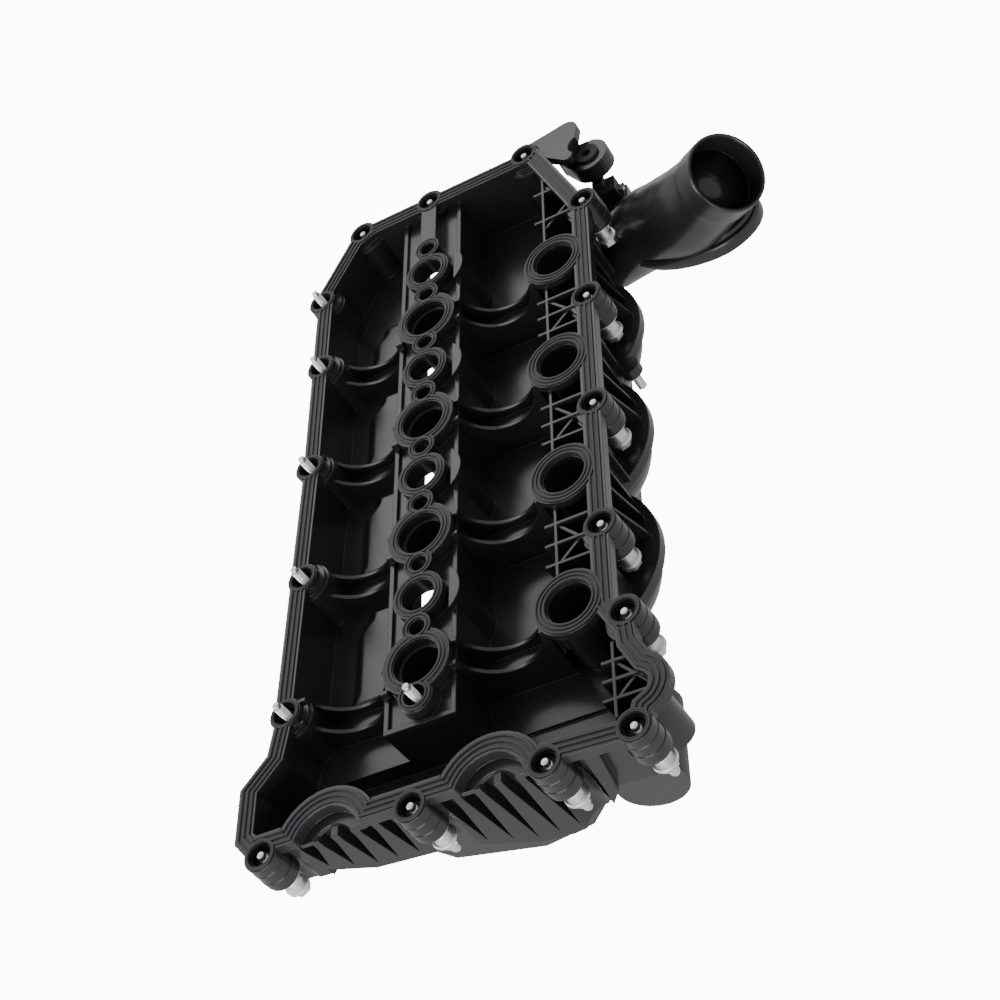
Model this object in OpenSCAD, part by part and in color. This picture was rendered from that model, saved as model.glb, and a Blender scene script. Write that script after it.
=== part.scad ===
// Intake manifold moulded together with a cam cover, for one bank of a four-cylinder-per-bank engine.
// Millimetres. The gasket face is the plane Z = 0 and faces +Z. The cam cover, the plenum and the
// bolt heads lie below it. Y runs along the bank, towards the end with the air inlet, and X runs
// from the exhaust side towards the inlet side. The origin is the axis of injector well 1.

/* [Bank] */
// Distance between neighbouring cylinders
pitch = 94; // [90:1:112]
// From the last injector well to the edge of the closed end
closed_end = 139.5; // [130:0.5:168]
// From the first injector well to the edge of the inlet end
inlet_end = 80; // [78:1:96]
// Left edge of the gasket face
left_edge = 89.5; // [86:0.5:106]
// Right edge of the gasket face
right_edge = 122; // [120:0.5:146]

/* [Gasket face] */
// Width of the gasket flange
flange_w = 12; // [10:0.5:14]
// Thickness of the gasket flange
flange_t = 7; // [5:0.5:9]
// Width of the perimeter gasket
gasket_w = 8; // [6:0.5:9]
// Depth of the gasket groove
groove_t = 2; // [1:0.5:3]
// Height of the sealing lips above the face
lip_h = 0.8; // [0.4:0.1:1.5]
// Width of one sealing lip
lip_w = 1.2; // [0.8:0.1:1.4]

/* [Cover] */
// Wall thickness of the cover
wall = 3; // [2:0.25:4]
// Depth of the left cam chamber
left_depth = 35; // [29:1:42]
// Depth of the right cam chamber
right_depth = 45; // [45:1:50]
// Depth of the pocket at the closed end
pocket_depth = 47; // [46:1:49]
// Distance of each camshaft from the injector row
cam_offset = 50; // [48:0.5:54]
// Radius of the clearance round each camshaft
cam_clear_r = 26; // [20:0.5:27]
// Width of one saddle rib pair along the bank
saddle_w = 18; // [14:1:24]

/* [Ports and wells] */
// Radius of an injector well
well_r = 10.75; // [9:0.25:12]
// Radius of the ring round an injector well
well_ring_r = 16.5; // [15:0.25:18]
// Radius of a spine port
port_r = 14.65; // [12:0.05:15.5]
// Radius of the ring round a spine port
port_ring_r = 21.7; // [20:0.1:23]
// Distance of the side ports from the injector row
side_port_x = 95.6; // [92:0.2:98]
// Radius of a side port
side_port_r = 13.5; // [11.5:0.25:14.5]
// Radius of the ring round a side port
side_ring_r = 21.5; // [20:0.25:22.5]
// Radius of an open spine bolt hole
spine_hole_r = 5.2; // [4:0.1:5.6]
// Radius of the ring round a spine bolt hole
spine_ring_r = 8.8; // [8:0.1:9.6]

/* [Cover bolts] */
// Thread radius of a cover bolt
thread_r = 3; // [2.5:0.25:4]
// Radius of the bolt's shoulder
shoulder_r = 5.5; // [4.5:0.1:5.8]
// Radius of the bore of a sleeve
sleeve_r = 6.1; // [5.9:0.05:6.6]
// Radius of the boss round a sleeve
boss_r = 11; // [10.5:0.25:12.5]
// Height of a boss below the gasket face
boss_h = 22.5; // [20:0.5:27]
// Travel of a captive bolt
bolt_travel = 10; // [5:0.5:12]

/* [Plenum] */
// Depth of the plenum floor below the gasket face
plenum_depth = 92; // [86:1:106]
// Wall thickness of the plenum
plenum_wall = 3.5; // [2.5:0.25:5]
// Radius of the round side lobes
lobe_r = 52; // [48:1:56]

/* [Swirl flaps] */
// Radius of the flap shaft
shaft_r = 3; // [2.5:0.25:3.5]
// Depth of the flap shaft below the gasket face
shaft_depth = 66; // [64:0.5:70]
// Thickness of a flap plate
flap_t = 2; // [1.5:0.25:2.5]
// Clearance between a flap's rim and its bore
flap_gap = 0.5; // [0.3:0.1:1]

/* [Air inlet] */
// Outer radius of the inlet tube
inlet_r = 26.5; // [22:0.25:28]
// Wall thickness of the inlet tube
inlet_wall = 2.5; // [2:0.25:3.5]
// Length of the inlet tube
inlet_len = 46; // [36:1:60]
// Length of the hose seat at the tube's mouth
seat_len = 20; // [15:1:25]

/* [Hidden] */

$fn = 64;
eps = 0.01;
// Clearance of a shaft that turns or slides in its bore
running_gap = 0.05;
// Clearance between pieces of different bodies that don't bear on each other
body_gap = 0.3;

cylinders = 4;
bays = [0 : cylinders - 1];
last_well = -pitch * (cylinders - 1);
near_y = last_well - closed_end;
far_y = inlet_end;
pocket_y = near_y + 57.5;

// ---- Outline of the gasket face, anticlockwise ----

arch_r = 21;
arch_sink = 5.5;
arch_x = [-54, 46];
arch_start = asin(arch_sink / arch_r);
bulge_r = 19.7;
bulge_x = right_edge + 8.5;
bulge_y = near_y + 28.5;

function arc(c, r, a0, a1, n) = [
    for (i = [0 : n]) let (a = a0 + (a1 - a0) * i / n) [c[0] + r * cos(a), c[1] + r * sin(a)]
];

function arch(x) = arc([x, near_y - arch_sink], arch_r, 180 - arch_start, arch_start, 14);

outline = concat(
    [[-left_edge - 15.5, near_y]],
    arch(arch_x[0]),
    arch(arch_x[1]),
    [[right_edge + 6, near_y - 3], [right_edge + 14, near_y + 1]],
    arc([bulge_x, bulge_y], bulge_r, -65, 60, 12),
    [[right_edge + 12, near_y + 58], [right_edge + 11, near_y + 68], [right_edge, near_y + 88]],
    [[right_edge, -2], [right_edge - 6.5, 14], [right_edge - 36, far_y]],
    [[-left_edge + 42, far_y], [-left_edge + 24, far_y - 9], [-left_edge, 27], [-left_edge, -150]],
    [[-left_edge - 5, near_y + 78], [-left_edge - 7.5, near_y + 62.5]],
    [[-left_edge - 24, near_y + 45], [-left_edge - 24, near_y + 10]]
);

function unit(v) = v / norm(v);
function inward(v) = [-v[1], v[0]];

// Moves every edge of a closed anticlockwise outline inwards by d
function inset(path, d) = let (n = len(path)) [
    for (i = [0 : n - 1])
        let (u = inward(unit(path[i] - path[(i + n - 1) % n])))
        let (v = inward(unit(path[(i + 1) % n] - path[i])))
        let (m = unit(u + v))
        path[i] + m * d / (m * u)
];

// ---- Places of the cover bolts ----

left_line = 84.5;
left_bolts = [
    [-left_line - 2.5, last_well - 51.5],
    [-left_line + 1.5, -2 * pitch - 47],
    [-left_line - 0.5, -pitch - 48],
    [-left_line + 1.5, -50],
    [-left_line - 2, 18],
    [-56, far_y - 5.5]
];
right_line = right_edge - 5;
right_bolts = [
    [right_line + 1, 2.5],
    [right_line, -pitch + 3.5],
    [right_line, -2 * pitch + 3],
    [right_line, -3 * pitch + 2.5],
    [right_line + 10.5, near_y + 76.5],
    [right_line + 11.5, near_y + 4]
];
top_bolts = [[0, far_y - 4.5], [76, far_y - 2]];
end_bolts = [[78.2, near_y - 0.3], [-1.2, near_y - 0.6], [-95.5, near_y - 1]];
spine_pitch = pitch / 2;
spine_holes = [for (i = [0 : 2 * cylinders - 1]) [0, spine_pitch * (0.5 - i)]];
spine_bolt = [0, spine_pitch * (0.5 - 2 * cylinders)];
rim_bolts = concat(left_bolts, right_bolts, top_bolts, end_bolts);

// ---- Gasket face ----

bolt_ring_r = 10.3;
groove_w = gasket_w;
groove_side = (flange_w - groove_w) / 2;

module band(outer, inner) {
    difference() {
        polygon(inset(outline, outer));
        polygon(inset(outline, inner));
    }
}

module rings(places, r) {
    for (p = places) translate(p) circle(r = r);
}

module flange_2d() {
    band(0, flange_w);
    rings(rim_bolts, bolt_ring_r);
}

// Ports and holes in the spine, as rings of a given outer margin less or more
module spine_chain_2d(margin) {
    for (k = bays) {
        translate([0, -pitch * k]) circle(r = well_ring_r + margin);
        translate([0, -pitch * (k + 0.5)]) circle(r = port_ring_r + margin);
    }
    rings(spine_holes, spine_ring_r + margin);
    translate(spine_bolt) circle(r = bolt_ring_r + margin);
}

module spine_openings_2d(margin) {
    for (k = bays) {
        translate([0, -pitch * k]) circle(r = well_r + margin);
        translate([0, -pitch * (k + 0.5)]) circle(r = port_r + margin);
    }
    rings(spine_holes, spine_hole_r + margin);
    translate(spine_bolt) circle(r = sleeve_r + margin);
}

module at_bays() {
    for (k = bays) translate([0, -pitch * k, 0]) children();
}

module slab(z0, z1) {
    translate([0, 0, z0]) linear_extrude(z1 - z0) children();
}

// A square from one corner to the opposite one
module area(x0, y0, x1, y1) {
    translate([x0, y0]) square([x1 - x0, y1 - y0]);
}

// ---- Cam cover ----

sleeve_out_r = sleeve_r + 1.4;
collar_r = 7.6;
collar_h = 2.5;
hex_flat = 10;
hex_h = 4.5;
wall_in = flange_w - wall;
head_clear_r = boss_r + 0.5;
big = 400;
valley_left = -21;
valley_right = 19;
roof_top = -9;
side_port_y = -pitch * 0.47;
step_depth = 38;
step = 1.2;
tube_wall = 3;
lattice_x = 88;

// The region inside the cover's side wall, which bulges inwards round every bolt head
module inside_2d(margin) {
    difference() {
        polygon(inset(outline, wall_in + margin));
        rings(rim_bolts, head_clear_r + margin);
    }
}

module chamber(x0, y0, x1, y1, depth) {
    slab(-depth - wall, -flange_t + eps) intersection() {
        inside_2d(0);
        area(x0, y0, x1, y1);
    }
}

module chamber_hollow(x0, y0, x1, y1, depth) {
    slab(-depth, 1) intersection() {
        inside_2d(wall);
        area(x0, y0, x1, y1);
    }
}

// A pair of thin ribs with a concave top, joined at the foot, that clears the camshaft
module saddle(x0, x1, axis_x, y, depth) {
    rib = 2.5;
    difference() {
        slab(-depth - eps, -2.5) area(x0, y - saddle_w / 2, x1, y + saddle_w / 2);
        slab(-cam_clear_r - 4, 1) area(x0 - 1, y - saddle_w / 2 + rib, x1 + 1, y + saddle_w / 2 - rib);
        translate([axis_x, y, 1]) rotate([90, 0, 0]) cylinder(r = cam_clear_r, h = saddle_w + 2, center = true);
    }
}

lattice_rib = 1.8;
lattice_top = -3.5;

// One bay of crossed ribs between the side wall and a rib along the bank
module lattice_bay(x, y0, y1, crosses) {
    run = right_edge + 30 - x;
    slab(-right_depth, lattice_top) intersection() {
        polygon(inset(outline, flange_w - 1));
        union() {
            area(x - lattice_rib / 2, y0, x + lattice_rib / 2, y1);
            for (i = [1 : crosses]) {
                y = y0 + (y1 - y0) * i / (crosses + 1);
                area(x - 7, y - lattice_rib / 2, x + run, y + lattice_rib / 2);
            }
        }
    }
    slab(-right_depth, lattice_top - 1.5) intersection() {
        polygon(inset(outline, flange_w - 1));
        for (side = [-1, 1]) translate([x, (y0 + y1) / 2 + side * (y1 - y0) / 4]) rotate(-side * 45)
            area(0, -lattice_rib / 2, run, lattice_rib / 2);
    }
}

module lattice() {
    for (k = [0 : cylinders - 2]) {
        y = side_port_y - pitch * k;
        lattice_bay(lattice_x, y - pitch + side_ring_r - 4, y - side_ring_r + 4, 3);
    }
    lattice_bay(lattice_x, side_port_y + side_ring_r - 4, far_y - flange_w - 6, 2);
    lattice_bay(right_edge - 4, near_y + 14, near_y + 62, 3);
}

// The roof over the spark plug valley and the rings on it, which the rest of the cover leaves free
module spine_plate(grow) {
    slab(roof_top - wall, roof_top)
        area(valley_left - wall / 2, pocket_y - 1, valley_right + wall / 2, far_y - flange_w + 1);
    slab(roof_top - eps, grow) spine_chain_2d(0);
    slab(roof_top - eps, grow) area(-bar_w / 2, 8, bar_w / 2, far_y - flange_w + 1);
}

bar_w = 12;
tie_w = 8;
tower_r = 20;
tower_x = 6;
tower_top = -3;

// Half-round towers that stiffen the spine beside each well
module towers() {
    at_bays() slab(-right_depth, tower_top) intersection() {
        translate([tower_x, 0]) circle(r = tower_r);
        area(valley_right, -tower_r, tower_x + tower_r, tower_r);
    }
}

module bosses() {
    slab(-boss_h, -flange_t + eps) rings(rim_bolts, boss_r - 0.4);
    slab(-boss_h + 2, -boss_h + 8) rings(rim_bolts, boss_r);
    slab(-flange_t, -flange_t + 2.5) intersection() {
        rings(rim_bolts, head_clear_r + wall / 2);
        polygon(inset(outline, 1));
    }
}

// ---- Finned outer wall of the closed end ----

fin_x = [-84, -80, -70, -50, -10, 12, 39, 58, 81, 97, 104];
fin_z = [-8, -30, -38, -47, -50, -56, -69, -71, -67, -46, -8];
fin_y0 = near_y + 1.5;
fin_y1 = near_y + flange_w + 1;
fin_points = [for (i = [0 : len(fin_x) - 1]) [fin_x[i], fin_z[i]]];
fin_pitch = 12.5;
fin_gap = 8;
shelf_t = 3;
shelf_w = 7;

module fin_wall() {
    difference() {
        along_y(fin_y0, fin_y1) polygon(fin_points);
        for (x = [-72 : fin_pitch : 92])
            along_y(fin_y0 - 1, fin_y1 - 3)
            polygon([[x - fin_gap / 2, 1], [x - fin_gap / 2, -14], [x, lookup(x, fin_points) + 4],
                [x + fin_gap / 2, -14], [x + fin_gap / 2, 1]]);
        slab(-big, -boss_h) rings(rim_bolts, head_clear_r);
    }
}

// The tubes of the side ports that pass through the cover's floor
module port_tube_solid() {
    slab(-5, 0) circle(r = side_ring_r);
    translate([0, 0, -port_tube_len]) cylinder(r = flap_bore_r + tube_wall, h = port_tube_len - 1);
    translate([0, 0, -step_depth - 2]) cylinder(r = side_port_r + tube_wall, h = step_depth + 1);
}

// The way of the flap shaft and its far bush
module shaft_way() {
    at_flap_axis(plenum_y0) rotate([-90, 0, 0]) cylinder(r = shaft_r + body_gap, h = shaft_y1 + 2 - plenum_y0);
    at_flap_axis(bearing_y - 1) rotate([-90, 0, 0]) cylinder(r = bush_r, h = bush_len + 2);
}

// Flat shelves under the arches of the closed end
module arch_shelves() {
    slab(-flange_t - shelf_t, -flange_t + eps) for (x = arch_x) intersection() {
        translate([x, near_y - arch_sink]) difference() {
            circle(r = arch_r + 1);
            circle(r = arch_r - shelf_w);
        }
        area(x - arch_r, fin_y0, x + arch_r, near_y + arch_r);
    }
}

module cam_cover() {
    color("#1b1c1e")
    difference() {
        union() {
            difference() {
                union() {
                    chamber(-big, pocket_y - wall, valley_left, big, left_depth);
                    chamber(valley_right, pocket_y - wall, big, big, right_depth);
                    chamber(-big, -2 * big, big, pocket_y, pocket_depth);
                    slab(plenum_top, plenum_top + wall) plenum_outline_2d(lip_out);
                    bearing_block();
                }
                chamber_hollow(-big, pocket_y - 2 * wall, valley_left - wall, big, left_depth);
                chamber_hollow(valley_right + wall, pocket_y - 2 * wall, big, big, right_depth);
                chamber_hollow(-big, -2 * big, big, pocket_y - wall, pocket_depth);
            }
            slab(-flange_t, 0) flange_2d();
            bosses();
            towers();
            for (k = bays) {
                saddle(-left_edge + 4, -port_ring_r + 2, -cam_offset, left_bolts[3 - k][1], left_depth);
                saddle(port_ring_r - 2, side_port_x - 17, cam_offset, -pitch * (k + 0.5), right_depth);
            }
            lattice();
            fin_wall();
            arch_shelves();
            side_ribs();
            at_bays() translate([side_port_x, side_port_y, 0]) {
                port_tube_solid();
                slab(-right_depth, -1) area(0, -1.25, right_edge - flange_w - side_port_x + 1, 1.25);
            }
            slab(roof_top - wall, -flange_t + eps)
                area(valley_left, far_y - flange_w + 0.5, valley_right, far_y - flange_w + wall);
        }
        slab(-groove_t, 1) band(groove_side, groove_side + groove_w);
        slab(-groove_t, 1) rings(rim_bolts, bolt_ring_r - 0.8);
        for (p = rim_bolts)
            translate([p[0], p[1], -boss_h - 1]) cylinder(r = sleeve_out_r, h = boss_h + 2);
        slab(head_low, -boss_h) rings(rim_bolts, head_clear_r - 0.3);
        spine_plate(1);
        at_bays() {
            translate([0, -pitch / 2, plenum_top - 1]) cylinder(r = port_r + tube_wall, h = roof_top - plenum_top);
            translate([side_port_x, side_port_y, 0]) {
                slab(-groove_t, 1) circle(r = side_ring_r - 1);
                translate([0, 0, -step_depth]) cylinder(r = side_port_r, h = step_depth + 1);
                translate([0, 0, -big]) cylinder(r = flap_bore_r, h = big);
            }
        }
        shaft_way();
    }
}

// The roof of the valley with its rings, the tubes of the spine ports and the spine bolt's boss
module spine_bridge() {
    color("#202124")
    difference() {
        union() {
            spine_plate(0);
            at_bays() translate([0, -pitch / 2, plenum_top]) {
                cylinder(r = port_r + tube_wall, h = -plenum_top - 1);
                slab(wall, roof_top - wall + eps - plenum_top) area(port_r, -tie_w / 2, valley_right, tie_w / 2);
            }
            translate([spine_bolt[0], spine_bolt[1], -boss_h]) cylinder(r = boss_r, h = boss_h - 1);
        }
        slab(-groove_t / 2, 1) difference() {
            spine_chain_2d(-0.8);
            spine_openings_2d(0.8);
        }
        for (p = concat(rim_bolts, [spine_bolt]))
            translate([p[0], p[1], -boss_h - 1]) cylinder(r = sleeve_out_r, h = boss_h + 2);
        slab(-groove_t, 1) rings(rim_bolts, bolt_ring_r - 0.8);
        slab(head_low, -boss_h) translate(spine_bolt) circle(r = spine_washer_r + 0.1);
        for (p = spine_holes)
            translate([p[0], p[1], -big]) cylinder(r = spine_hole_r, h = big + 1);
        at_bays() {
            translate([0, 0, -big]) cylinder(r = well_r, h = big + 1);
            translate([0, -pitch / 2, plenum_top - 1]) cylinder(r = port_r - step, h = 1 - plenum_top);
            translate([0, -pitch / 2, -7]) cylinder(r = port_r, h = 8);
        }
    }
}

bush_r = shaft_r + 2.5;
flap_bore_r = side_port_r - step;
flap_r = flap_bore_r - flap_gap;
port_tube_len = shaft_depth + flap_bore_r + 1.5;

first_rib = 24;
thin_rib = 1.6;

// Thin ribs that brace the plenum's lip to the side wall
module side_ribs() {
    for (k = [0 : cylinders - 2]) for (i = [0 : 5]) {
        y = -pitch * k - first_rib - i * pitch / 6;
        bay_y = y + pitch * k + lobe_shift;
        x = lobe_x + sqrt(lobe_r * lobe_r - bay_y * bay_y);
        if (min([for (p = right_bolts) abs(p[1] - y)]) > head_clear_r + 1)
            along_y(y - thin_rib / 2, y + thin_rib / 2) polygon([
                [right_edge - wall_in - 1, -flange_t - 2], [right_edge - 4, -flange_t - 2],
                [max(x, right_edge - 4), plenum_top + wall], [right_edge - wall_in - 1, plenum_top + wall]
            ]);
    }
}

// ---- Sleeves, washers, grommets and captive bolts ----

washer_t = 1.5;
washer_r = boss_r - 1.5;
spine_washer_r = collar_r + 0.4;
head_seat = -boss_h - washer_t;
bolt_len = -head_seat + bolt_travel + body_gap;
// The lowest point of a bolt's hexagon when the bolt is pulled back, with room to spare
head_low = head_seat - body_gap - bolt_travel - collar_h - hex_h - 0.8;
grommet_top = -groove_t - 4;
grommet_h = 6;
all_bolts = concat(rim_bolts, [spine_bolt]);

module tube(r_out, r_in, h) {
    difference() {
        cylinder(r = r_out, h = h);
        translate([0, 0, -1]) cylinder(r = r_in, h = h + 2);
    }
}

module at_bolts() {
    for (p = all_bolts) translate([p[0], p[1], 0]) children();
}

module bolt_sleeves() {
    color("#c9cbd0") at_bolts() translate([0, 0, -boss_h]) tube(sleeve_out_r, sleeve_r, boss_h - groove_t);
}

module bolt_washers() {
    color("#eceef0") {
        for (p = rim_bolts) translate([p[0], p[1], head_seat]) tube(washer_r, sleeve_r, washer_t);
        translate([spine_bolt[0], spine_bolt[1], head_seat]) tube(spine_washer_r, sleeve_r, washer_t);
    }
}

module bolt_grommets() {
    color("#141414") at_bolts() translate([0, 0, grommet_top - grommet_h])
        tube(sleeve_r, thread_r + running_gap, grommet_h);
}

stud_r = 3;
stud_h = 9;
point_r = 2.35;
point_h = 4;
shoulder_h = 12;

// A captive bolt, drawn with the underside of its head at z = 0 and its thread upwards
module captive_bolt(with_stud) {
    cylinder(r = shoulder_r, h = shoulder_h);
    cylinder(r = thread_r, h = bolt_len - point_h);
    cylinder(r = point_r, h = bolt_len);
    translate([0, 0, -collar_h]) cylinder(r = collar_r, h = collar_h);
    translate([0, 0, -collar_h - hex_h]) cylinder(r = hex_flat / sqrt(3), h = hex_h + eps, $fn = 6);
    if (with_stud) {
        translate([0, 0, -collar_h - hex_h - stud_h]) cylinder(r = stud_r, h = stud_h + eps);
    }
}

// raised is how far the bolt stands below its seat
module placed_bolt(place, raised, with_stud) {
    color("#b9bcc2") translate([place[0], place[1], head_seat - body_gap - raised]) captive_bolt(with_stud);
}

pushed = 0;
pulled = bolt_travel;

module bolt_left_1() placed_bolt(left_bolts[0], pushed, false);
module bolt_left_2() placed_bolt(left_bolts[1], pushed, false);
module bolt_left_3() placed_bolt(left_bolts[2], pushed, false);
module bolt_left_4() placed_bolt(left_bolts[3], pushed, false);
module bolt_left_5() placed_bolt(left_bolts[4], pushed, false);
module bolt_left_6() placed_bolt(left_bolts[5], pulled, false);
module bolt_right_1() placed_bolt(right_bolts[0], pulled, false);
module bolt_right_2() placed_bolt(right_bolts[1], pulled, false);
module bolt_right_3() placed_bolt(right_bolts[2], pulled, false);
module bolt_right_4() placed_bolt(right_bolts[3], pulled, false);
module bolt_right_5() placed_bolt(right_bolts[4], pulled, false);
module bolt_right_6() placed_bolt(right_bolts[5], pulled, true);
module bolt_top_1() placed_bolt(top_bolts[0], pulled, false);
module bolt_top_2() placed_bolt(top_bolts[1], pulled, false);
module bolt_end_1() placed_bolt(end_bolts[0], pulled, true);
module bolt_end_2() placed_bolt(end_bolts[1], pulled, true);
module bolt_end_3() placed_bolt(end_bolts[2], pulled, false);
module bolt_spine() placed_bolt(spine_bolt, pushed, false);

// ---- Gaskets ----

module lips_2d(edge, width) {
    for (t = [0, 0.5, 1]) {
        a = edge + (width - lip_w) * t;
        band(a, a + lip_w);
    }
}

// Where the side ports' seals cut into the perimeter gasket
module side_seals_2d() {
    at_bays() translate([side_port_x, side_port_y]) circle(r = side_ring_r - 1);
}

module perimeter_gasket() {
    color("#26282b") {
        slab(-groove_t, 0) difference() {
            union() {
                band(groove_side, groove_side + groove_w);
                rings(rim_bolts, bolt_ring_r - 0.8);
            }
            rings(rim_bolts, sleeve_out_r);
            side_seals_2d();
        }
        slab(-eps, lip_h) difference() {
            lips_2d(groove_side, groove_w);
            rings(rim_bolts, bolt_ring_r - 0.8 - eps);
            side_seals_2d();
        }
        slab(-eps, lip_h) difference() {
            rings(rim_bolts, bolt_ring_r - 0.8);
            rings(rim_bolts, bolt_ring_r - 0.8 - lip_w);
        }
        slab(-eps, lip_h) difference() {
            rings(rim_bolts, sleeve_out_r + lip_w / 2);
            rings(rim_bolts, sleeve_out_r);
        }
    }
}

module spine_gasket() {
    color("#2d2f33") {
        slab(-groove_t / 2, 0) difference() {
            spine_chain_2d(-0.8);
            spine_openings_2d(0.8);
        }
        for (m = [0.8, 3]) {
            slab(-eps, lip_h) difference() {
                spine_openings_2d(m + lip_w);
                spine_openings_2d(m);
            }
        }
    }
}

module port_seal(k) {
    color("#2d2f33") translate([side_port_x, side_port_y - pitch * k, 0]) {
        translate([0, 0, -groove_t]) tube(side_ring_r - 1, side_port_r + 0.8, groove_t);
        for (r = [side_port_r + 0.8, (side_ring_r + side_port_r) / 2 - 0.6, side_ring_r - 1 - lip_w])
            translate([0, 0, -eps]) tube(r + lip_w, r, lip_h);
    }
}

module port_seal_1() port_seal(0);
module port_seal_2() port_seal(1);
module port_seal_3() port_seal(2);
module port_seal_4() port_seal(3);

// ---- Plenum shell, welded under the right chamber ----

plenum_top = -right_depth - wall;
lip_t = 4;
// Height and width of the ribs across the plenum's floor
floor_rib = 3;
rib_inset = 0.5;
lip_out = 5;
plenum_x0 = valley_right + wall + lip_out;
plenum_x1 = right_edge - 18;
plenum_y0 = last_well - 66;
plenum_y1 = 55;
lobe_x = right_edge + 6 - lobe_r;
lobe_shift = 75;
runner_r = 13;
dome_steps = 12;
runner_z = plenum_top - 16;
runner_foot = runner_z - runner_r;
stud_place = [right_edge, -116];
sensor_place = [right_edge - 2, plenum_y1 - 3];

module plenum_2d(margin) {
    area(plenum_x0 - margin, plenum_y0 - margin, plenum_x1 + margin, plenum_y1 + margin);
    for (k = [0 : cylinders - 2])
        translate([lobe_x, -pitch * k - lobe_shift]) circle(r = lobe_r + margin);
}

// The lip round the plenum's rim, with the pads of the stud and the sensor
module plenum_outline_2d(margin) {
    intersection() {
        plenum_2d(margin);
        area(plenum_x0 - margin, -big, big, big);
    }
    if (margin > 0) {
        translate(stud_place) circle(r = 7);
        area(plenum_x1, sensor_place[1] - 10, sensor_place[0] + 12, sensor_place[1] + 8);
        for (k = bays) translate([0, -pitch * (k + 0.5)]) circle(r = port_r + tube_wall);
        for (k = bays) area(0, -pitch * (k + 0.5) - 10, plenum_x0, -pitch * (k + 0.5) + 10);
    }
}

// Runners that lead from the plenum up to the spine ports
module runners(shrink) {
    at_bays() translate([0, -pitch / 2, 0]) {
        translate([0, 0, runner_foot + shrink]) cylinder(r = port_r + tube_wall - shrink, h = plenum_top - runner_foot);
        translate([0, 0, runner_z]) rotate([0, 90, 0]) cylinder(r = runner_r - shrink, h = plenum_x0 + 2 * plenum_wall);
    }
}

// The plenum's box and its three domed lobes
module plenum_body(shrink) {
    rise = plenum_depth + plenum_top - lip_t;
    slab(-plenum_depth + shrink, plenum_top + (shrink > 0 ? 1 : 0))
        area(plenum_x0 + shrink, plenum_y0 + shrink, plenum_x1 - shrink, plenum_y1 - shrink);
    for (k = [0 : cylinders - 2]) translate([lobe_x, -pitch * k - lobe_shift, plenum_top - lip_t]) {
        r = lobe_r - shrink;
        cylinder(r = r, h = lip_t + (shrink > 0 ? 1 : 0));
        rotate_extrude() polygon(concat(
            [[0, eps]],
            [for (i = [0 : dome_steps]) let (a = 90 * i / dome_steps)
                [r * cos(a), i == 0 ? eps : -(rise - shrink) * sin(a)]]
        ));
    }
}

module plenum_shell() {
    color("#212326") difference() {
        union() {
            plenum_body(0);
            slab(plenum_top - lip_t, plenum_top) plenum_outline_2d(lip_out);
            intersection() {
                runners(0);
                slab(-big, plenum_top) area(-big, -big, big, big);
            }
            for (i = [0 : 2 * cylinders - 1])
                slab(-plenum_depth - floor_rib, -plenum_depth + eps)
                    area(plenum_x0 + rib_inset, -spine_pitch * i - 11 - floor_rib, plenum_x1 - rib_inset, -spine_pitch * i - 11);
        }
        plenum_body(plenum_wall);
        at_bays() translate([side_port_x, side_port_y, -port_tube_len])
            cylinder(r = flap_bore_r + tube_wall, h = port_tube_len);
        runners(tube_wall + step);
        translate([side_port_x, plenum_y0 - 10, -shaft_depth]) rotate([-90, 0, 0])
            cylinder(r = bush_r, h = 20);
        translate([plenum_x1 - 10, neck_y, neck_z]) rotate([0, 90, 0]) cylinder(r = neck_r - inlet_wall, h = 20);
    }
}

// ---- Cover of the oil separator under the closed end ----

end_x = [-30, -18, 31, 64, 78, 84];
end_z = [-56, -77, -91, -84, -70, -58];
end_y0 = fin_y1;
end_y1 = plenum_y0 - lip_out;
end_top = -pocket_depth - wall;
end_wall_t = 3;

module end_profile(top, rise, side) {
    polygon(concat(
        [[end_x[0] + side, top]],
        [for (i = [0 : 5]) [end_x[i] + (i < 2 ? side : i > 3 ? -side : 0), end_z[i] + rise]],
        [[end_x[5] - side, top]]
    ));
}

module end_cover() {
    color("#2a2c2f") difference() {
        along_y(end_y0, end_y1) end_profile(end_top, 0, 0);
        along_y(end_y0 + end_wall_t, end_y1 - end_wall_t) end_profile(end_top + 1, end_wall_t, end_wall_t);
    }
}

// Extrudes a profile drawn in X and Z along Y
module along_y(y0, y1) {
    translate([0, y1, 0]) rotate([90, 0, 0]) linear_extrude(y1 - y0) children();
}

// ---- Air inlet: two welded elbow shells and the tube ----

axis_in = unit([0.70, -0.42, 0.58]);
mouth = [right_edge + 96.5, -35, 0];
tube_foot = mouth - axis_in * inlet_len;
neck_y = 20;
neck_z = -74;
neck_r = 17.5;
bulb_r = inlet_r + 5;
bulb = tube_foot - axis_in * 6;
bend_r = 28;
bend = [right_edge + 43, 8, -62];
neck = [plenum_x1 + neck_r + 3, neck_y, neck_z];
seam_z = -50;
seam_t = 5;
seam_out = 6;
duct_fn = 32;
seat_step = 0.8;

module duct(shrink) {
    hull() {
        translate(bulb) sphere(r = bulb_r - shrink, $fn = duct_fn);
        translate(bend) sphere(r = bend_r - shrink, $fn = duct_fn);
    }
    hull() {
        translate(bend) sphere(r = bend_r - shrink, $fn = duct_fn);
        translate([plenum_x1 - 6, neck[1], neck[2]]) rotate([0, 90, 0])
            cylinder(r = neck_r - shrink, h = 12, $fn = duct_fn);
    }
}

module seam_2d() {
    hull() {
        translate([bulb[0], bulb[1]]) circle(r = bulb_r + seam_out, $fn = duct_fn);
        translate([bend[0], bend[1]]) circle(r = bend_r + seam_out, $fn = duct_fn);
    }
}

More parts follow.
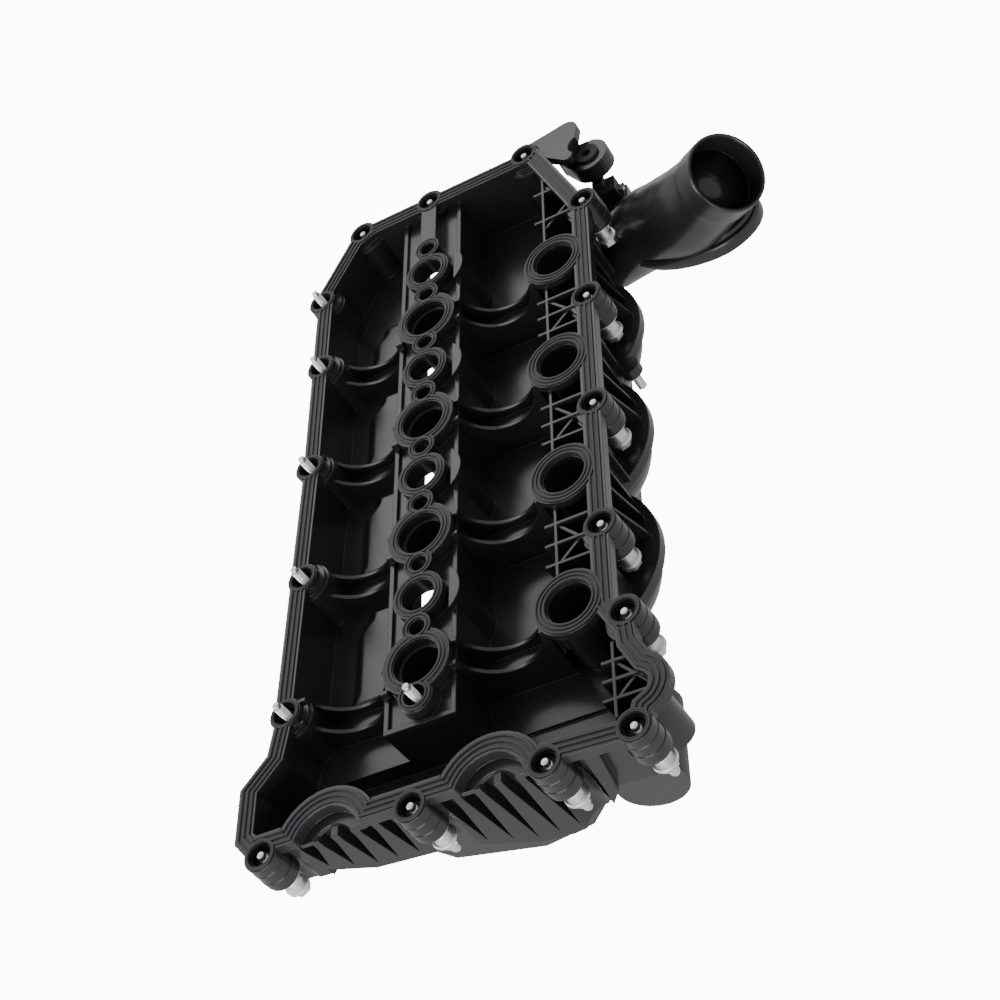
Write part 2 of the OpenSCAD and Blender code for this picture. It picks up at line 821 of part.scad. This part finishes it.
module duct_shell(seam_z0) {
    difference() {
        union() {
            duct(0);
            slab(seam_z0, seam_z0 + seam_t) seam_2d();
        }
        duct(inlet_wall);
        slab(-big, big) area(-big, -big, plenum_x1, big);
        along(tube_foot, axis_in) cylinder(r = inlet_r - seat_step, h = big);
        children();
    }
}

// Puts children's +Z along a direction from a point
module along(p, d) {
    translate(p) rotate([0, acos(d[2] / norm(d)), atan2(d[1], d[0])]) children();
}

module elbow_upper() {
    color("#1d1e20") duct_shell(seam_z) slab(-big, seam_z) area(-big, -big, big, big);
}

module elbow_lower() {
    color("#232427") duct_shell(seam_z - seam_t) slab(seam_z, big) area(-big, -big, big, big);
}

module inlet_tube() {
    color("#191a1b") along(tube_foot, axis_in) {
        tube(inlet_r - seat_step, inlet_r - inlet_wall - seat_step, inlet_len - seat_len + eps);
        translate([0, 0, inlet_len - seat_len]) tube(inlet_r, inlet_r - inlet_wall - seat_step, seat_len);
    }
}

// ---- Swirl flaps: one shaft through the four side ports ----

shaft_y0 = plenum_y0 - 22;
shaft_y1 = side_port_y + side_port_r + tube_wall + 14;
screw_r = 1.2;
screw_step = 6;
slot = flap_r + 1;

module at_flap_axis(y) {
    translate([side_port_x, y, -shaft_depth]) children();
}

module at_ports() {
    at_bays() at_flap_axis(side_port_y) children();
}

module flap_shaft() {
    color("#a9acb2") difference() {
        at_flap_axis(shaft_y0) rotate([-90, 0, 0]) cylinder(r = shaft_r, h = shaft_y1 - shaft_y0);
        at_ports() translate([0, -slot, -shaft_r - 1]) cube([shaft_r + 1, 2 * slot, 2 * shaft_r + 2]);
        at_ports() for (s = [-1, 1]) translate([-shaft_r - 1, s * screw_step, 0])
            rotate([0, 90, 0]) cylinder(r = screw_r, h = 2 * shaft_r + 2);
    }
}

module flap(k) {
    color("#8d9096") translate([0, -pitch * k, 0]) at_flap_axis(side_port_y) rotate([0, 90, 0]) difference() {
        cylinder(r = flap_r, h = flap_t);
        for (s = [-1, 1]) translate([0, s * screw_step, -1]) cylinder(r = screw_r, h = flap_t + 2);
    }
}

module flap_1() flap(0);
module flap_2() flap(1);
module flap_3() flap(2);
module flap_4() flap(3);

module flap_screws() {
    color("#d0d2d6") at_ports() for (s = [-1, 1]) translate([-shaft_r + 0.6, s * screw_step, 0]) rotate([0, 90, 0]) {
        cylinder(r = screw_r, h = shaft_r + flap_t);
        translate([0, 0, shaft_r - 0.6 + flap_t]) cylinder(r = 2.1, h = 1.3);
    }
}

bush_len = 8;

module shaft_bushes() {
    color("#c9a15a") {
        at_flap_axis(plenum_y0 - 2) rotate([-90, 0, 0]) tube(bush_r, shaft_r + running_gap, bush_len);
        at_flap_axis(bearing_y) rotate([-90, 0, 0]) tube(bush_r, shaft_r + running_gap, bush_len);
    }
}

// A block under the cover's floor that holds the far end of the flap shaft
bearing_y = shaft_y1 - bush_len - 1;

module bearing_block() {
    slab(-shaft_depth - bush_r - 3, -right_depth - eps)
        area(side_port_x - bush_r - 3, bearing_y, side_port_x + bush_r + 3, bearing_y + bush_len);
}

// ---- Flap actuator on the closed end of the plenum ----

can_r = 20;
can_wall = 2.5;
can_x = side_port_x + 10;
can_z = -shaft_depth - 5;
can_y1 = plenum_y0 - lip_out - body_gap;
can_y0 = near_y + 16;
cap_t = 3;
gear_r = 5.5;

module at_can(y) {
    translate([can_x, y, can_z]) rotate([-90, 0, 0]) children();
}

module flap_actuator() {
    color("#2b2c2f") difference() {
        at_can(can_y0 + cap_t) difference() {
            cylinder(r = can_r, h = can_y1 - can_y0 - cap_t);
            translate([0, 0, -1]) cylinder(r = can_r - can_wall, h = can_y1 - can_y0 - cap_t - can_wall + 1);
        }
        at_flap_axis(shaft_y0 - 1) rotate([-90, 0, 0]) cylinder(r = shaft_r + body_gap, h = can_y1 - shaft_y0 + 2);
    }
}

module actuator_cap() {
    color("#222326") at_can(can_y0) union() {
        cylinder(r = can_r, h = cap_t);
        translate([0, 0, cap_t - eps]) tube(can_r - can_wall, can_r - can_wall - 2, 3);
    }
}

// The gear pressed onto the end of the flap shaft inside the actuator
module actuator_gear() {
    color("#d8d6cc") at_flap_axis(shaft_y0 + 2) rotate([-90, 0, 0]) tube(gear_r, shaft_r, 6);
}

// ---- Mounting ear at the inlet end ----

ear = [right_edge - 14, far_y + 6];
ear_r = 9;
ear_t = 6;
puck = [right_edge - 4, far_y - 14];
puck_r = 15;
puck_top = -14;
puck_h = 12;
isolator_r = 6;
isolator_rim_r = 8.5;
isolator_bore_r = 3.2;

module ear_bracket() {
    color("#1f2023") difference() {
        union() {
            hull() {
                translate([ear[0], ear[1], -ear_t - 2]) cylinder(r = ear_r, h = ear_t, $fn = 32);
                translate([right_edge - 46, far_y + 5, -ear_t - 2]) cylinder(r = 4, h = ear_t, $fn = 32);
                translate([right_edge - 14, far_y - 22, -ear_t - 2]) cylinder(r = 4, h = ear_t, $fn = 32);
            }
            hull() {
                translate([puck[0], puck[1], puck_top - puck_h]) cylinder(r = puck_r, h = puck_h, $fn = 32);
                translate([puck[0] - 14, puck[1] + 8, puck_top - puck_h]) cylinder(r = 8, h = puck_h, $fn = 32);
            }
            for (p = [[ear[0] - 8, ear[1] - 12], [ear[0] + 4, ear[1] - 16]])
                translate([p[0], p[1], puck_top - puck_h]) cylinder(r = 5, h = -puck_top + puck_h - 3);
        }
        slab(-big, big) intersection() {
            polygon(outline);
            area(0, 0, big, big);
        }
        for (p = rim_bolts) translate([p[0], p[1], -big]) cylinder(r = boss_r + 0.2, h = big);
        translate([puck[0], puck[1], puck_top - puck_h - 1]) cylinder(r = isolator_r, h = puck_h + 2);
        translate([puck[0], puck[1], puck_top]) cylinder(r = isolator_rim_r + 0.2, h = -puck_top + 1);
    }
}

module ear_isolator() {
    color("#101112") translate([puck[0], puck[1], puck_top - puck_h - 2]) {
        tube(isolator_r, isolator_bore_r, puck_h + 4);
        tube(isolator_rim_r, isolator_bore_r, 2);
        translate([0, 0, puck_h + 2]) tube(isolator_rim_r, isolator_bore_r, 2);
    }
}

// ---- Pressure sensor on the plenum ----

sensor_top = plenum_top + wall;

module pressure_sensor() {
    color("#17181a") translate([sensor_place[0], sensor_place[1], sensor_top]) difference() {
        union() {
            slab(0, 12) area(-8, -7, 8, 7);
            slab(11, 18) area(-6, -5, 2, 5);
            slab(0, 3) area(-8, -7, 11, 7);
        }
        slab(13, 21) area(-4.5, -3.5, 0.5, 3.5);
    }
}

module sensor_screw() {
    color("#c4c7cc") translate([sensor_place[0] + 9.5, sensor_place[1], sensor_top + 3]) cylinder(r = 2.5, h = 2.5);
}

module cover_stud() {
    color("#cfc6a8") translate([stud_place[0], stud_place[1], plenum_top - lip_t - 14]) {
        cylinder(r = 3, h = 14);
        translate([0, 0, 12]) cylinder(r = 5, h = 2);
    }
}

cam_cover();
spine_bridge();
plenum_shell();
end_cover();
elbow_upper();
elbow_lower();
inlet_tube();
perimeter_gasket();
spine_gasket();
port_seal_1();
port_seal_2();
port_seal_3();
port_seal_4();
bolt_sleeves();
bolt_washers();
bolt_grommets();
bolt_left_1();
bolt_left_2();
bolt_left_3();
bolt_left_4();
bolt_left_5();
bolt_left_6();
bolt_right_1();
bolt_right_2();
bolt_right_3();
bolt_right_4();
bolt_right_5();
bolt_right_6();
bolt_top_1();
bolt_top_2();
bolt_end_1();
bolt_end_2();
bolt_end_3();
bolt_spine();
flap_shaft();
flap_1();
flap_2();
flap_3();
flap_4();
flap_screws();
shaft_bushes();
flap_actuator();
actuator_cap();
actuator_gear();
ear_bracket();
ear_isolator();
pressure_sensor();
sensor_screw();
cover_stud();
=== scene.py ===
from math import cos, pi, radians, sin

import bpy
import bmesh
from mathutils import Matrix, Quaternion, Vector


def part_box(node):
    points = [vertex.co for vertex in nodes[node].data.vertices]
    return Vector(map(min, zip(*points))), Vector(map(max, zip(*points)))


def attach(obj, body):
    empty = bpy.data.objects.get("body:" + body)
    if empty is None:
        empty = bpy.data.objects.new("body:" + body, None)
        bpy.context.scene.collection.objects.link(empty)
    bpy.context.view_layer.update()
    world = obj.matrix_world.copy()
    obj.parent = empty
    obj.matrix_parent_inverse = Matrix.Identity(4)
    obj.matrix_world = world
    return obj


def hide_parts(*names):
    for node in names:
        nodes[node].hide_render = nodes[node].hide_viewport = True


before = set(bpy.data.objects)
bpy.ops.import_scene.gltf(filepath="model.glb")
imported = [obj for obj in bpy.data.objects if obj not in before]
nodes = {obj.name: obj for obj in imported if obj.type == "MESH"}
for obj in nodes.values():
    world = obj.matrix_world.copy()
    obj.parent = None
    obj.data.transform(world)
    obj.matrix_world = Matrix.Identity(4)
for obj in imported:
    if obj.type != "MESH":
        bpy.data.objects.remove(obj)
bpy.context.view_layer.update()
MM = 0.001


# ---- Camera ----
# It looks down at the gasket face from the closed end, rolled so that the bank stands upright.
camera_data = bpy.data.cameras.new("camera")
camera_data.sensor_width = 36.0
camera_data.lens = 64.11
camera_data.clip_start = 0.01
camera_data.clip_end = 100.0
camera = bpy.data.objects.new("camera", camera_data)
bpy.context.scene.collection.objects.link(camera)
camera.location = (0.4262, -0.9251, 0.6628)
camera.rotation_mode = "QUATERNION"
looking = Vector((-0.3618, 0.6727, -0.6454))
camera.rotation_quaternion = looking.to_track_quat("-Z", "Y") @ Quaternion((0, 0, 1), radians(-40.45))
bpy.context.scene.camera = camera


# ---- Backdrop and studio light ----
# A white card stands behind the part, square to the camera. One long soft box behind the part
# lays a grey sheen on every face turned up, and weak fills lift the sides.
def linear(code):
    """An sRGB hex value as linear red, green, blue and alpha."""
    parts = [int(code[i:i + 2], 16) / 255 for i in (1, 3, 5)]
    return tuple(p / 12.92 if p <= 0.04045 else ((p + 0.055) / 1.055) ** 2.4 for p in parts) + (1.0,)


def add(tree, kind, links=(), **settings):
    """Adds a node with its settings, and links of the form (input, source socket)."""
    made = tree.nodes.new(kind)
    for name, value in settings.items():
        if name.startswith("in_"):
            made.inputs[name[3:].replace("_", " ")].default_value = value
        else:
            setattr(made, name, value)
    for name, source in links:
        tree.links.new(source, made.inputs[name])
    return made


def empty_material(name):
    material = bpy.data.materials.new(name)
    material.use_nodes = True
    material.node_tree.nodes.clear()
    return material


def finish_material(material, shader):
    out = add(material.node_tree, "ShaderNodeOutputMaterial")
    material.node_tree.links.new(shader.outputs[0], out.inputs["Surface"])
    return material


def new_object(name, mesh, material):
    mesh.materials.append(material)
    made = bpy.data.objects.new(name, mesh)
    bpy.context.scene.collection.objects.link(made)
    return made


card_paint = empty_material("white studio card")
finish_material(
    card_paint, add(card_paint.node_tree, "ShaderNodeEmission", in_Color=linear("#ffffff"), in_Strength=12.0))
card_far = 4.0
card_half = 1.3
across = camera.rotation_quaternion @ Vector((1, 0, 0))
up = camera.rotation_quaternion @ Vector((0, 1, 0))
centre = camera.location + looking.normalized() * card_far
card_mesh = bpy.data.meshes.new("studio_card")
card_mesh.from_pydata(
    [centre + (across * x + up * y) * card_half for x, y in ((-1, -1), (1, -1), (1, 1), (-1, 1))],
    [], [(0, 1, 2, 3)])
card = new_object("studio_card", card_mesh, card_paint)
card.visible_diffuse = False
card.visible_glossy = False

world = bpy.data.worlds.new("studio")
bpy.context.scene.world = world
world.use_nodes = True
world.node_tree.nodes["Background"].inputs["Color"].default_value = linear("#ffffff")
world.node_tree.nodes["Background"].inputs["Strength"].default_value = 0.75


def soft_box(name, place, aim, width, height, power):
    data = bpy.data.lights.new(name, "AREA")
    data.shape = "RECTANGLE"
    data.size = width
    data.size_y = height
    data.energy = power
    light = bpy.data.objects.new(name, data)
    bpy.context.scene.collection.objects.link(light)
    light.location = place
    light.rotation_mode = "QUATERNION"
    light.rotation_quaternion = (Vector(aim) - Vector(place)).to_track_quat("-Z", "Y")


middle = (0.03, -0.17, 0.0)
soft_box("back_box", (-0.8, 1.5, 1.5), middle, 2.0, 0.9, 12)
soft_box("left_box", (-1.6, -0.5, 0.5), middle, 1.0, 1.2, 20)
soft_box("near_box", (0.0, -1.8, 0.0), middle, 1.3, 0.8, 34)


# ---- Moulded nylon ----
# Glass-filled polyamide 6 from a steel mould: near black, satin, with a very fine spark-eroded
# grain that softens every highlight and edges rounded by about half a millimetre.
def moulded(name, colour, lighter, roughness, edge_mm, grain_mm=0.05):
    material = empty_material(name)
    tree = material.node_tree
    where = add(tree, "ShaderNodeTexCoord")
    place = [("Vector", where.outputs["Object"])]
    flow = add(tree, "ShaderNodeTexNoise", place, in_Scale=38.0, in_Detail=3.0)
    tint = add(tree, "ShaderNodeMix", [("Factor", flow.outputs["Fac"])], data_type="RGBA")
    tint.inputs["A"].default_value = linear(colour)
    tint.inputs["B"].default_value = linear(lighter)
    grain = add(tree, "ShaderNodeTexNoise", place, in_Scale=1800.0, in_Detail=2.0)
    round_edge = add(tree, "ShaderNodeBevel", samples=6, in_Radius=edge_mm * MM)
    bump = add(
        tree, "ShaderNodeBump", [("Height", grain.outputs["Fac"]), ("Normal", round_edge.outputs["Normal"])],
        in_Strength=0.25, in_Distance=grain_mm * MM)
    rough = add(tree, "ShaderNodeMapRange", [("Value", flow.outputs["Fac"])])
    rough.inputs["To Min"].default_value = roughness - 0.05
    rough.inputs["To Max"].default_value = roughness + 0.06
    shader = add(
        tree, "ShaderNodeBsdfPrincipled",
        [("Base Color", tint.outputs["Result"]), ("Roughness", rough.outputs["Result"]),
         ("Normal", bump.outputs["Normal"])],
        in_IOR=1.53)
    return finish_material(material, shader)


def dress(name, material):
    """Gives a CAD node its finish."""
    mesh = nodes[name].data
    mesh.materials.clear()
    mesh.materials.append(material)


cover_nylon = moulded("moulded glass-filled nylon cover", "#1a1b1d", "#202123", 0.25, 0.7)
end_nylon = moulded("moulded glass-filled nylon end", "#232426", "#2a2b2d", 0.45, 0.7)
for name in ("cam_cover", "spine_bridge", "plenum_shell", "ear_bracket"):
    dress(name, cover_nylon)
for name in ("end_cover", "flap_actuator", "actuator_cap"):
    dress(name, end_nylon)


# ---- Air inlet ----
# A smooth bent duct welded from two halves. The upper half swells from the tube into a dome, and
# a thick weld rim runs round the joint below it. A shallow step near the mouth seats the hose.
def smooth_path(stations, count):
    """Points and radii on a Catmull-Rom curve through (x, y, z, radius) stations in mm."""
    rows = [Vector(s) for s in stations]
    rows = [rows[0] * 2 - rows[1]] + rows + [rows[-1] * 2 - rows[-2]]
    made = []
    for i in range(1, len(rows) - 2):
        a, b, c, d = rows[i - 1:i + 3]
        for j in range(count):
            t = j / count
            made.append(0.5 * (b * 2 + (c - a) * t + (a * 2 - b * 5 + c * 4 - d) * t * t
                               + (b * 3 - a - c * 3 + d) * t ** 3))
    made.append(rows[-2])
    return made


def loft(name, stations, count, sides, material):
    """A tube swept through stations, with its rings turned as little as possible."""
    path = smooth_path(stations, count)
    bm = bmesh.new()
    rings = []
    side_way = Vector((0, 0, 1))
    for i, p in enumerate(path):
        ahead = path[min(i + 1, len(path) - 1)].xyz - path[max(i - 1, 0)].xyz
        ahead.normalize()
        side_way = (side_way - ahead * side_way.dot(ahead)).normalized()
        other = ahead.cross(side_way)
        rings.append([
            bm.verts.new(
                (p.xyz + (side_way * cos(2 * pi * k / sides) + other * sin(2 * pi * k / sides)) * p.w) * MM)
            for k in range(sides)])
    for a, b in zip(rings, rings[1:]):
        for k in range(sides):
            bm.faces.new((a[k], a[(k + 1) % sides], b[(k + 1) % sides], b[k]))
    for face in bm.faces:
        face.smooth = True
    bm.normal_update()
    mesh = bpy.data.meshes.new(name)
    bm.to_mesh(mesh)
    bm.free()
    return new_object(name, mesh, material)


mouth = Vector((218.5, -35.0, 0.0))
blow = Vector((0.70, -0.42, 0.58)).normalized()


def back_from_mouth(distance, radius):
    return (*(mouth - blow * distance), radius)


duct = loft("inlet_duct", [
    (104, 20, -74, 18.5), (120, 18, -65, 22.5), (140, 14, -54, 27.5), (158, 5, -48, 29.5),
    (176, -8, -36, 29.3),
    back_from_mouth(44, 27.4), back_from_mouth(30, 26.2), back_from_mouth(20.6, 25.9),
    back_from_mouth(19.6, 26.5), back_from_mouth(10, 26.5), back_from_mouth(1.2, 26.5),
    back_from_mouth(0, 25.7)],
    7, 72, cover_nylon)
shell = duct.modifiers.new("wall", "SOLIDIFY")
shell.thickness = 2.4 * MM
shell.offset = -1
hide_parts("elbow_upper", "elbow_lower", "inlet_tube")
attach(duct, "manifold")


def prism(name, outline, z0, z1, edge_mm, material, rounds=3):
    """A plate with rounded edges, from an outline in mm that is smoothed first."""
    points = [Vector(p) for p in outline]
    for _ in range(rounds):
        cut = []
        for a, b in zip(points, points[1:] + points[:1]):
            cut += [a * 0.75 + b * 0.25, a * 0.25 + b * 0.75]
        points = cut
    bm = bmesh.new()
    low = [bm.verts.new((p.x * MM, p.y * MM, z0 * MM)) for p in points]
    high = [bm.verts.new((p.x * MM, p.y * MM, z1 * MM)) for p in points]
    bm.faces.new(high)
    bm.faces.new(list(reversed(low)))
    for k in range(len(points)):
        m = (k + 1) % len(points)
        bm.faces.new((low[k], low[m], high[m], high[k]))
    bmesh.ops.recalc_face_normals(bm, faces=bm.faces)
    mesh = bpy.data.meshes.new(name)
    bm.to_mesh(mesh)
    bm.free()
    made = new_object(name, mesh, material)
    bevel = made.modifiers.new("edges", "BEVEL")
    bevel.width = edge_mm * MM
    bevel.segments = 3
    for face in mesh.polygons:
        face.use_smooth = True
    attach(made, "manifold")
    return made


rim_line = [
    (124, -2), (133, -14), (150, -26), (171, -33), (193, -34), (213, -24), (221, -8),
    (217, 10), (203, 23), (180, 30), (158, 36), (136, 36), (124, 30)]
rim_middle = 171
rim = prism("duct_weld_rim", rim_line, -62.5, -52.5, 1.5, cover_nylon)
upper_line = [(rim_middle + (x - rim_middle) * 0.955, y * 0.95) for x, y in rim_line]
upper_rim = prism("duct_weld_rim_upper", upper_line, -52.5, -48.5, 1.2, cover_nylon)


# ---- Gaskets ----
# Moulded acrylic rubber pressed into the flange's groove, dark blue-grey with a matte skin.
gasket_rubber = moulded("moulded acrylic rubber", "#1c1e22", "#24262a", 0.5, 0.3)
for name in ("perimeter_gasket", "spine_gasket", "port_seal_1", "port_seal_2", "port_seal_3", "port_seal_4"):
    dress(name, gasket_rubber)
grommet_rubber = moulded("moulded black rubber", "#0c0c0d", "#111112", 0.6, 0.3)
for name in ("bolt_grommets", "ear_isolator", "pressure_sensor"):
    dress(name, grommet_rubber)


# ---- Metal ----
def plated(name, colour, roughness, metallic=1.0):
    material = empty_material(name)
    tree = material.node_tree
    where = add(tree, "ShaderNodeTexCoord")
    place = [("Vector", where.outputs["Object"])]
    cloud = add(tree, "ShaderNodeTexNoise", place, in_Scale=900.0, in_Detail=3.0)
    rough = add(tree, "ShaderNodeMapRange", [("Value", cloud.outputs["Fac"])])
    rough.inputs["To Min"].default_value = roughness - 0.07
    rough.inputs["To Max"].default_value = roughness + 0.1
    round_edge = add(tree, "ShaderNodeBevel", samples=6, in_Radius=0.3 * MM)
    shader = add(
        tree, "ShaderNodeBsdfPrincipled",
        [("Roughness", rough.outputs["Result"]), ("Normal", round_edge.outputs["Normal"])],
        in_Metallic=metallic)
    shader.inputs["Base Color"].default_value = linear(colour)
    return finish_material(material, shader)


zinc = plated("zinc-plated steel", "#dfe0e3", 0.4)
steel = plated("ground steel", "#b9bbc0", 0.3)
dark_steel = plated("phosphated steel", "#2a2b2d", 0.5)
washer_zinc = plated("bright zinc-plated washer", "#e9eaec", 0.48)
dress("bolt_sleeves", dark_steel)
dress("bolt_washers", washer_zinc)
for name in ("flap_shaft", "flap_1", "flap_2", "flap_3", "flap_4", "flap_screws", "sensor_screw",
             "actuator_gear"):
    dress(name, steel)
brass = plated("turned brass", "#c9a76a", 0.35)
dress("shaft_bushes", brass)
dress("cover_stud", plated("cream passivated steel", "#e6e0d0", 0.45))


# ---- Captive bolts ----
# An M6 cover bolt: a rounded lead-in point, a coarse thread, a thick shoulder that runs in the
# sleeve, a collar, a hexagon with chamfered corners and on three of them a round-ended stud.
THREAD_PITCH = 1.0
HEX_HEIGHT = 4.5
COLLAR_HEIGHT = 2.5


def bolt_mesh(name, height, stud):
    """height is from the hexagon's lowest face to the tip, in mm; the tip is at z = 0."""
    collar_z = -height + HEX_HEIGHT
    seat_z = collar_z + COLLAR_HEIGHT
    rows = []
    if stud:
        rows += [(-height - 9, 0.0), (-height - 8.8, 1.0), (-height - 8.2, 1.9), (-height - 7, 2.6),
                 (-height - 5.6, 3.0), (-height - 1, 3.0), (-height - 0.2, 3.6), (-height, 4.6)]
    else:
        rows += [(-height + 1.6, 0.0), (-height + 1.5, 2.6), (-height, 3.0), (-height, 4.6)]
    rows += [(-height + 0.25, "hex"), (collar_z - 0.6, "hex"), (collar_z - 0.1, 5.9), (collar_z, 7.1),
             (collar_z + 0.5, 7.6), (seat_z - 0.5, 7.6), (seat_z, 7.1), (seat_z, 5.5), (seat_z + 5.0, 5.5),
             (seat_z + 5.4, 5.0), (seat_z + 6.0, 5.0), (seat_z + 6.4, 5.5), (seat_z + 11.6, 5.5),
             (seat_z + 12.2, 4.9), (seat_z + 12.4, 3.0)]
    z = seat_z + 12.6
    while z < -3.4:
        rows.append((z, "thread"))
        z += THREAD_PITCH / 6
    rows += [(-3.2, 2.35), (-1.0, 2.3), (-0.4, 2.05), (-0.1, 1.5), (0.0, 0.0)]
    sides = 36
    bm = bmesh.new()
    rings = []
    for z, r in rows:
        ring = []
        for k in range(sides):
            turn = 2 * pi * k / sides
            if r == "hex":
                radius = 5.0 / cos((turn + pi / 6) % (pi / 3) - pi / 6)
                radius = min(radius, 5.62)
            elif r == "thread":
                phase = (z / THREAD_PITCH - turn / (2 * pi)) % 1.0
                radius = 3.0 - 0.62 * abs(phase * 2 - 1)
            else:
                radius = r
            ring.append(bm.verts.new((radius * cos(turn) * MM, radius * sin(turn) * MM, z * MM)))
        rings.append(ring)
    for a, b in zip(rings, rings[1:]):
        for k in range(sides):
            bm.faces.new((a[k], a[(k + 1) % sides], b[(k + 1) % sides], b[k]))
    bmesh.ops.remove_doubles(bm, verts=bm.verts, dist=1e-7)
    for face in bm.faces:
        face.smooth = True
    mesh = bpy.data.meshes.new(name)
    bm.to_mesh(mesh)
    bm.free()
    mesh.materials.append(zinc)
    mesh.set_sharp_from_angle(angle=radians(35))
    return mesh


low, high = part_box("bolt_left_1")
bolt_height = (high[2] - low[2]) / MM
plain_bolt = bolt_mesh("plain_bolt", bolt_height, False)
stud_bolt = bolt_mesh("stud_bolt", bolt_height, True)
for name in sorted(nodes):
    if not name.startswith("bolt_") or name in ("bolt_sleeves", "bolt_washers", "bolt_grommets"):
        continue
    low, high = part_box(name)
    with_stud = (high[2] - low[2]) / MM > bolt_height + 4
    bolt = bpy.data.objects.new("threaded_" + name, stud_bolt if with_stud else plain_bolt)
    bpy.context.scene.collection.objects.link(bolt)
    bolt.location = ((low[0] + high[0]) / 2, (low[1] + high[1]) / 2, high[2])
    bolt.rotation_euler = (0, 0, (low[1] * 37.0) % 1.0)
    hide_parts(name)
    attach(bolt, name + "_body")


# ---- Chamber floors ----
# The cover's roof over each cam is not flat: it swells in soft steps between the saddles, which
# leaves long rounded shoulders that catch the light.
def relief(name, x0, x1, y0, y1, step_mm, height, material):
    """A swelling above a flat base, made as one open sheet: height(x, y) gives its top in mm."""
    nx = max(2, int((x1 - x0) / step_mm))
    ny = max(2, int((y1 - y0) / step_mm))
    bm = bmesh.new()
    grid = []
    for i in range(nx + 1):
        x = x0 + (x1 - x0) * i / nx
        grid.append([
            bm.verts.new((x * MM, (y0 + (y1 - y0) * j / ny) * MM, height(x, y0 + (y1 - y0) * j / ny) * MM))
            for j in range(ny + 1)])
    for i in range(nx):
        for j in range(ny):
            bm.faces.new((grid[i][j], grid[i + 1][j], grid[i + 1][j + 1], grid[i][j + 1])).smooth = True
    mesh = bpy.data.meshes.new(name)
    bm.to_mesh(mesh)
    bm.free()
    made = new_object(name, mesh, material)
    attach(made, "manifold")
    return made


def ease(value, low_edge, high_edge):
    t = min(1.0, max(0.0, (value - low_edge) / (high_edge - low_edge)))
    return t * t * t * (t * (t * 6 - 15) + 10)


left_saddles = (18, -50, -142, -235, -333.5)
for k in range(4):
    top, bottom = left_saddles[k] - 9, left_saddles[k + 1] + 9

    def left_floor(x, y, top=top, bottom=bottom):
        shoulder = -61 + 8 * ease(y, top - 24, top - 10) - 3 * ease(y, bottom + 16, bottom + 6)
        return -34.9 + 3.0 * ease(x, shoulder - 4, shoulder + 4) * (1 - ease(y, top - 9, top - 4)) \
            * ease(y, bottom + 3, bottom + 8) * (1 - ease(x, -31, -26))

    relief(f"left_roof_{k + 1}", -76, -24.2, bottom, top, 1.0, left_floor, cover_nylon)
